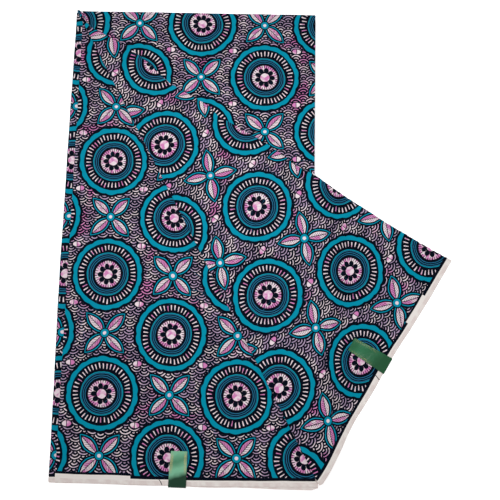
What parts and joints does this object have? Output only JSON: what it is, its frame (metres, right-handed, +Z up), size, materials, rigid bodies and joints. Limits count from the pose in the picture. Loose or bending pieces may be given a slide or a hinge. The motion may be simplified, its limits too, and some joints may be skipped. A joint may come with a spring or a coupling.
{
  "type": "folded wax print fabric length",
  "caption": "Length of printed cotton, doubled lengthwise and folded to and fro into a flat stack, its top corner turned over along a diagonal.",
  "frame": {"origin": "on the surface that the folded cloth lies on, under the middle of its laid-out outline", "axes": "+Z up from the surface, +Y from the selvedges to the lengthwise fold, +X to the side that the turned corner lies on"},
  "size_m": [0.4964, 0.605, 0.0147],
  "materials": {
    "print_cotton_layers": "wax printed plain weave cotton, lightly glazed, in teal, navy, pink and pale pink",
    "print_cotton_second": "wax printed plain weave cotton, lightly glazed, in teal, navy, pink and pale pink",
    "print_cotton_top": "wax printed plain weave cotton, lightly glazed, in teal, navy, pink and pale pink",
    "print_cotton_corner": "wax printed plain weave cotton, lightly glazed, in teal, navy, pink and pale pink",
    "label_satin_main": "green satin ribbon with gold flecked edges, no lettering",
    "label_satin_corner": "green satin ribbon with gold flecked edges, no lettering"
  },
  "bodies": {
    "root": {"folded_layers": "print_cotton_layers", "second_panel": "print_cotton_second", "top_panel": "print_cotton_top", "folded_corner": "print_cotton_corner", "edge_label_main": "label_satin_main", "edge_label_corner": "label_satin_corner"}
  },
  "joints": []
}
